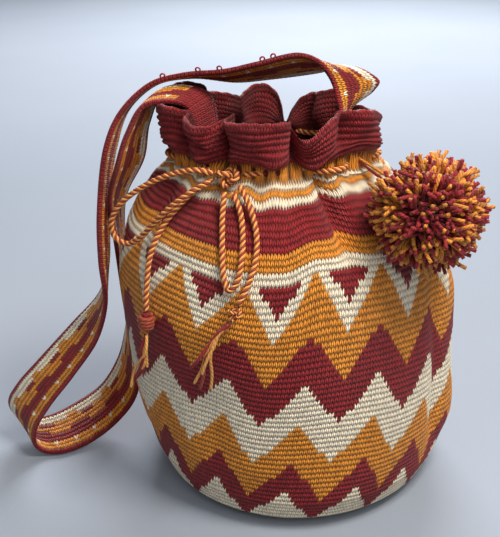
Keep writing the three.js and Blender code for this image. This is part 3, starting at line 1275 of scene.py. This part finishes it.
    def holds(self, places: Array, margin: float) -> Array:
        """Whether each place lies inside the plain section of its height, grown by a margin.

        Args:
            places: The places.
            margin: How far outside the section still counts as inside.

        Returns:
            One truth for each place.
        """
        rim = self.heights[-1]
        a, b, centre = self.profile(np.clip(places[:, 2], 0, rim))
        near = np.hypot((places[:, 0] - centre) / (a + margin), places[:, 1] / (b + margin)) < 1
        return near & (places[:, 2] < rim + margin)

    def angle(self, column: Array, row: Array) -> Array:
        """The angle of a column at a row: columns lean from row to row, less so low on the right.

        Args:
            column: Stitches round from the first valley.
            row: Rows up from the foot's first.

        Returns:
            Angles from the bow side's middle.
        """
        level = self.valley_deg + (column - 0.5) * 360 / self.stitches
        low = 1 - smoothstep(row, 26, 44)
        slant = self.slant_deg * (np.minimum(row, self.top_row) - 43)
        return level + slant + 2.6 * low * hump(level, 27, 20)

    def build(self) -> bpy.types.Object:
        """The whole body as one closed grid: the base's middle, out, up, over the rim and down inside.

        A stitch is one column and a row is three rings; the rings between rows lie lower, which
        leaves each row a ridge.
        """
        z_table, row_table = self.row_table()
        columns = np.arange(self.stitches + 1, dtype=float)
        turn = columns[None, :-1]
        foot_row, last = row_table[0], row_table[-1]
        tall = self.eyelet_row
        lower = np.arange(math.ceil(foot_row * 3) + 1, 3 * tall) / 3
        upper = np.arange(3 * tall + 4, math.floor(last * 3)) / 3
        rows = np.concatenate([lower, np.linspace(tall, tall + 1, 10), upper])
        z = np.interp(rows, row_table, z_table)[:, None]
        ridge = np.abs(np.sin(math.pi * rows))[:, None]
        relief = (0.8 + 1.1 * smoothstep(z, 240, 300)) * (ridge - 0.6)
        relief = relief + 0.3 * np.sin(2.4 * turn + 5.1 * rows[:, None]) * smoothstep(z, 230, 300)
        outer = self.surface(z, self.angle(turn, rows[:, None]), relief)
        foot = np.arange(1, 37) / 37
        foot_rows = foot_row - self.base_rows * (1 - foot)
        flat = self.surface(np.zeros((1, 1)), self.angle(turn, np.full((1, 1), foot_row)), 0)
        base = flat * foot[:, None, None]
        base[..., 2] = 0.5 * np.abs(np.sin(math.pi * foot_rows))[:, None]
        half = np.linspace(0, math.pi, 9)
        rope = 1 + 0.2 * np.sin(0.5 * math.pi * turn + 2.2 * half[:, None])
        out = -self.wall / 2 + (self.wall / 2 + 0.5) * np.cos(half)[:, None] * rope
        top = np.full((9, 1), float(self.heights[-1]))
        rim = self.surface(top, self.angle(turn, np.full((9, 1), last)), out)
        rim[..., 2] += 2.8 * np.sin(half)[:, None] * rope
        inner_rows = np.linspace(last - 0.3, foot_row + 1.5, 56)
        inner_z = np.interp(inner_rows, row_table, z_table)[:, None]
        inner = self.surface(inner_z, self.angle(turn, inner_rows[:, None]), -self.wall)
        floor_share = np.linspace(0.9, 0.1, 7)
        floor = flat * floor_share[:, None, None]
        floor[..., 2] = self.wall
        every = np.concatenate([base, outer, rim, inner, floor])
        inside_rows = inner_rows + 8 * smoothstep(inner_rows, 52, 60)
        over_rows = last + 0.9 * half / math.pi
        floor_rows = foot_row - self.base_rows * (1 - floor_share)
        counts = np.concatenate([foot_rows, rows, over_rows, inside_rows, floor_rows])
        uv = joined(columns[None], counts[:, None])
        outside = np.arange(len(every)) < len(base) + len(outer)
        # Painted shade: the eyelets between the tall posts go dark, and from halfway over the rim the whole
        # inner side is darker.
        in_tall = np.clip(6 * (counts - tall), 0, 1) * np.clip(6 * (tall + 1 - counts), 0, 1) * outside
        neck_angle = self.angle(turn, np.full((1, 1), float(tall)))
        shade = in_tall[:, None] * np.clip(1.7 - 2.4 * self.posts(neck_angle), 0, 1)
        shade[len(base) + len(outer) + len(rim) // 2 :] = 0.45
        poles = {"start": np.array([0.0, 0, 0.3]), "end": np.array([0.0, 0, self.wall])}
        patch = grid_patch(every, uv, shade=shade, **poles)
        piece = piece_from("body", [patch], BodyFinish(top=self.top_row).build())
        return settle(piece, Body.BAG, Slot.BAG, "bag_body")

    def neck_route(self) -> Array:
        """The drawstring's run: in and out through the wall 7 times on its way round the neck."""
        along = np.linspace(0, 1, 240)
        degrees = -24 + 9.5 + 341 * along
        offset = -2.5 + 6.4 * np.cos(TURN * 7 * along)
        t = np.radians(degrees)
        a, b, centre = self.profile(np.full_like(along, self.neck))
        x, y = centre + (a + offset) * np.sin(t), -(b + offset) * np.cos(t)
        return np.stack([x, y, np.full_like(t, self.neck)], 1)


# ---------------------------------------------------------------- the strap
@dataclass
class ShoulderStrap:
    """A long flat crocheted band whose rows run its length, with a rope-like thick edge."""

    rows: int = 11
    stitch: float = 3.4
    thickness: float = 4.4
    plain_stitches: float = 14.5
    picots: tuple = (70, 76, 98, 109, 127)
    thick: tuple = (
        (41, -24, 305), (38, -23, 325), (33, -13, 341), (29, -9, 353), (22, -12, 367), (13, -15, 377),
        (0, -16, 381), (-33, -13, 373), (-60, -9, 366), (-93, -6, 362), (-121, -7, 354), (-146, -13, 332),
        (-159, -21, 306), (-168, -30, 249), (-170, -31, 204), (-168, -32, 165), (-177, -33, 131),
        (-201, -33, 94), (-227, -33, 60), (-243, -31, 32), (-245, -28, 13), (-236, -25, 3.5),
        (-221, -22, 2.5), (-202, -10, 3.5), (-177, 12, 13), (-158, 23, 35), (-153, 22, 66), (-159, 12, 143),
        (-162, 6, 207), (-160, -20, 257), (-149, -37, 292), (-138, -40, 320), (-122, -37, 343),
        (-90, -27, 339), (-86, -26, 306),
    )
    thin: tuple = (
        (41, 26, 305), (46, 25, 325), (66, 21, 342), (70, 17, 351), (56, 20, 360), (38, 25, 361),
        (19, 27, 356), (-24, 33, 349), (-52, 37, 346), (-88, 42, 350), (-118, 42, 347), (-146, 36, 325),
        (-159, 26, 290), (-168, 16, 231), (-172, 15, 186), (-182, 16, 155), (-209, 7, 127), (-241, -3, 94),
        (-265, -1, 66), (-277, 5, 44), (-275, 12, 27), (-265, 16, 18), (-245, 20, 18), (-222, 32, 24),
        (-197, 52, 35), (-179, 58, 63), (-171, 62, 88), (-162, 60, 137), (-162, 53, 193), (-153, 27, 245),
        (-131, 7, 288), (-124, 4, 320), (-109, 9, 347), (-74, 14, 341), (-67, 15, 306),
    )

    def picot(self, edge: Array, across: Array, face: Array) -> Patch:
        """A tiny yarn loop that stands up from the thick edge: a ring sunk into it a little.

        Args:
            edge: The edge's place.
            across: The way to the other edge.
            face: The way out of the band's face.

        Returns:
            The closed ring.
        """
        along = unit(np.cross(face, across))
        out = unit(np.array([0, 0, 1.0]) - 0.4 * unit(across))
        turn = (TURN * np.arange(20) / 20)[:, None]
        path = edge + 0.05 * across + out * (2.9 + 1.9 * np.cos(turn)) + along * 1.9 * np.sin(turn)
        ring = plain_tube(path, 0.7, 6, True)
        ring.quad_uv = np.full_like(ring.quad_uv, 0.25)
        return ring

    def build(self, body: bpy.types.Object) -> None:
        """Makes the band and declares it as a sheet.

        Stations lie half a stitch apart along the middle line. Each station's closed outline goes
        across one face, three points a row with the row's middle raised, and back on the other.

        Args:
            body: The body that it hangs over.
        """
        edges = [smooth_curve(self.thick), smooth_curve(self.thin)]
        middle = (edges[0] + edges[1]) / 2
        run = run_of(middle)
        count = int(round(run[-1] / self.stitch))
        at = np.linspace(0, run[-1], 2 * count + 1)
        start, end = (resampled(edge, at, run) for edge in edges)
        across = end - start
        face = unit(np.cross(directions((start + end) / 2), across))
        share = (np.arange(3 * self.rows + 1) / (3 * self.rows))[None]
        row = share * self.rows
        ridge = np.abs(np.sin(math.pi * row))
        knob = 0.5 + 0.5 * (np.arange(2 * count + 1) % 2)[:, None]
        rounded = np.sqrt(np.clip(1 - (2 * share - 1) ** 8, 0, 1))
        body_half = self.thickness / 2 * (0.82 + 0.35 * np.exp(-((row - 0.5) ** 2)))
        half = rounded * (body_half + 0.45 * ridge * knob - 0.2)
        cup = 1.6 * (1 - (2 * share - 1) ** 2)
        place = start[:, None] + across[:, None] * share[..., None]
        upper = place + face[:, None] * (cup + half)[..., None]
        lower = place + face[:, None] * (cup - half)[..., None]
        points = np.concatenate([upper, lower[:, ::-1][:, 1:-1]], 1)
        points[..., 2] = np.maximum(points[..., 2], 0.3)
        v = np.concatenate([row[0], row[0][::-1][1:]])
        picots = [self.picot(start[i], across[i], face[i]) for i in self.picots]
        uv = joined((np.arange(2 * count + 1) / 2)[:, None], v[None])
        band = [grid_patch(points, uv), *picots]
        finish = StrapFinish(plain_from=count - self.plain_stitches).build()
        piece = piece_from("strap", band, finish)
        settle(piece, Body.BAG, Slot.STRAP, "shoulder_strap")


# ---------------------------------------------------------------- the pompom
@dataclass
class Pompom:
    """A ball of cut yarn ends on a short tie of loose strands."""

    centre: tuple[float, float, float] = (102, -93, 274)
    radius: float = 42.5
    yarns: int = 1250
    yarn_radius: float = 1.3
    neck_end: tuple[float, float, float] = (52, -40, 299)
    hinge: tuple[float, float, float] = (51.5, -40.5, 299)
    hinge_axis: tuple[float, float, float] = (-0.727, -0.686, 0)
    swing_deg: float = 75.0
    scatter: float = 0.13
    bend: float = 9.5
    unevenness: float = 0.06
    trims: int = 14
    trim: float = 0.94
    heart_share: float = 0.62
    rest_gap: float = 3.0
    lifted_gap: float = 8.0

    def tufts(self, body: BagBody) -> list[Patch]:
        """The cut ends, all worked out together.

        Directions follow the golden-angle spiral with some scatter. Each yarn runs from a third of
        the way out to the surface, bends sideways by the square of its share, and is cut short
        where it would reach into the body, hanging or lifted.

        Args:
            body: The body that the ball leans on.

        Returns:
            One closed tube for each yarn.
        """
        random = np.random.default_rng(11)
        k = np.arange(self.yarns)
        height = 1 - 2 * (k + 0.5) / self.yarns
        spiral = k * math.pi * (3 - math.sqrt(5))
        flat = np.sqrt(1 - height**2)
        out = np.stack([flat * np.cos(spiral), flat * np.sin(spiral), height], 1)
        out = unit(out + random.normal(0, self.scatter, out.shape))
        bend = random.normal(0, self.bend, out.shape)
        bend -= out * (bend * out).sum(1, keepdims=True)
        length = self.radius * (0.97 + random.normal(0, self.unevenness, self.yarns))
        middle = np.array(self.centre)
        for _ in range(self.trims):
            tip = middle + out * length[:, None] + bend
            deep = body.holds(tip, self.rest_gap) | body.holds(self.lifted(tip), self.lifted_gap)
            length = np.where(deep, length * self.trim, length)
        x, y, z = out.T
        clump = np.sin(7 * x + 2) * np.sin(6 * z + 1) + np.sin(8 * y - 5 * z)
        gold = (clump + random.normal(0, 0.8, self.yarns) + 0.05 > 0).astype(float)
        tone = random.uniform(-0.15, 1.0, self.yarns)
        share = np.linspace(0, 1, 6)[:, None]
        radius = self.yarn_radius * np.array([0.8, 0.9, 0.95, 1.0, 1.15, 1.25])
        made = []
        for i in range(self.yarns):
            path = middle + out[i] * (length[i] * (0.34 + 0.66 * share)) + bend[i] * share**2
            made.append(plain_tube(path, radius, 5, gold=gold[i], tone=tone[i]))
        return made

    def lifted(self, places: Array) -> Array:
        """Places turned about the hinge to the top of its swing, by Rodrigues' formula.

        Args:
            places: The places with the ball hanging.

        Returns:
            Where they go.
        """
        hinge, axis = np.array(self.hinge), unit(np.array(self.hinge_axis))
        angle = math.radians(self.swing_deg)
        arm = places - hinge
        along = axis * (arm @ axis)[:, None]
        return hinge + along + (arm - along) * math.cos(angle) + np.cross(axis, arm) * math.sin(angle)

    def heart(self) -> Patch:
        """A dark round middle, so that nothing shows through between the yarns."""
        polar = np.linspace(0, math.pi, 18)[1:-1, None]
        turn = TURN * np.arange(24)[None] / 24
        level = np.sin(polar)
        ball = np.stack(
            np.broadcast_arrays(level * np.cos(turn), level * np.sin(turn), np.cos(polar)), -1
        )
        uv = joined(np.arange(25)[None] / 24, polar * 30)
        shape = ball.shape[:2]
        middle = np.array(self.centre)
        radius = self.heart_share * self.radius
        poles = middle + [0, 0, radius], middle - [0, 0, radius]
        # Painted shade: the middle is dark maroon, seen only between the yarns where shade falls.
        values = {"gold": np.zeros(shape), "tone": np.full(shape, -0.6)}
        return grid_patch(middle + radius * ball, uv, False, poles[0], poles[1], **values)

    def tie(self, finish: bpy.types.Material) -> bpy.types.Object:
        """Three strands from the neck into the ball, a little apart in their middle.

        Args:
            finish: Their material.

        Returns:
            The piece.
        """
        start, middle = np.array(self.neck_end, float), np.array(self.centre, float)
        inward = unit(start - middle)
        made = []
        for number in range(3):
            angle = TURN * number / 3
            aside = np.array([math.cos(angle), 0.3 * math.sin(angle), math.sin(angle)]) * 1.3
            half_way = (start + middle) / 2 + aside * 1.8 + [0, 0, 2]
            points = [start + 6 * inward, start + aside, half_way, middle + inward * 24]
            path = even_path(points, 1.6)
            made.append(plain_tube(path, 1.2, 7, gold=float(number == 1), tone=0.4))
        return piece_from("pompom_strands", made, finish)

    def build(self, body: BagBody) -> None:
        """The ball, which rides on the pompom, and the tie, which bends between the two bodies.

        Args:
            body: The body that the ball leans on.
        """
        finish = YarnFinish("pompom_yarn_finish", gold=linear(214, 136, 50), depth=0.0005).build()
        ball = piece_from("pompom", [self.heart(), *self.tufts(body)], finish)
        settle(ball, Body.POMPOM, Slot.POMPOM, "pompom_ball")
        tie = self.tie(finish)
        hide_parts("pompom_tie")
        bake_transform(tie)


def main() -> None:
    """Builds the stage and every piece, and writes down both boxes."""
    logging.basicConfig(level=logging.INFO, format="%(name)s: %(message)s")
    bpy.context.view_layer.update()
    studio = Studio()
    studio.camera()
    body = BagBody()
    Drawstring().build(body.neck_route())
    shell = body.build()
    ShoulderStrap().build(shell)
    Pompom().build(body)
    studio.build()


if __name__ == "__main__":
    main()
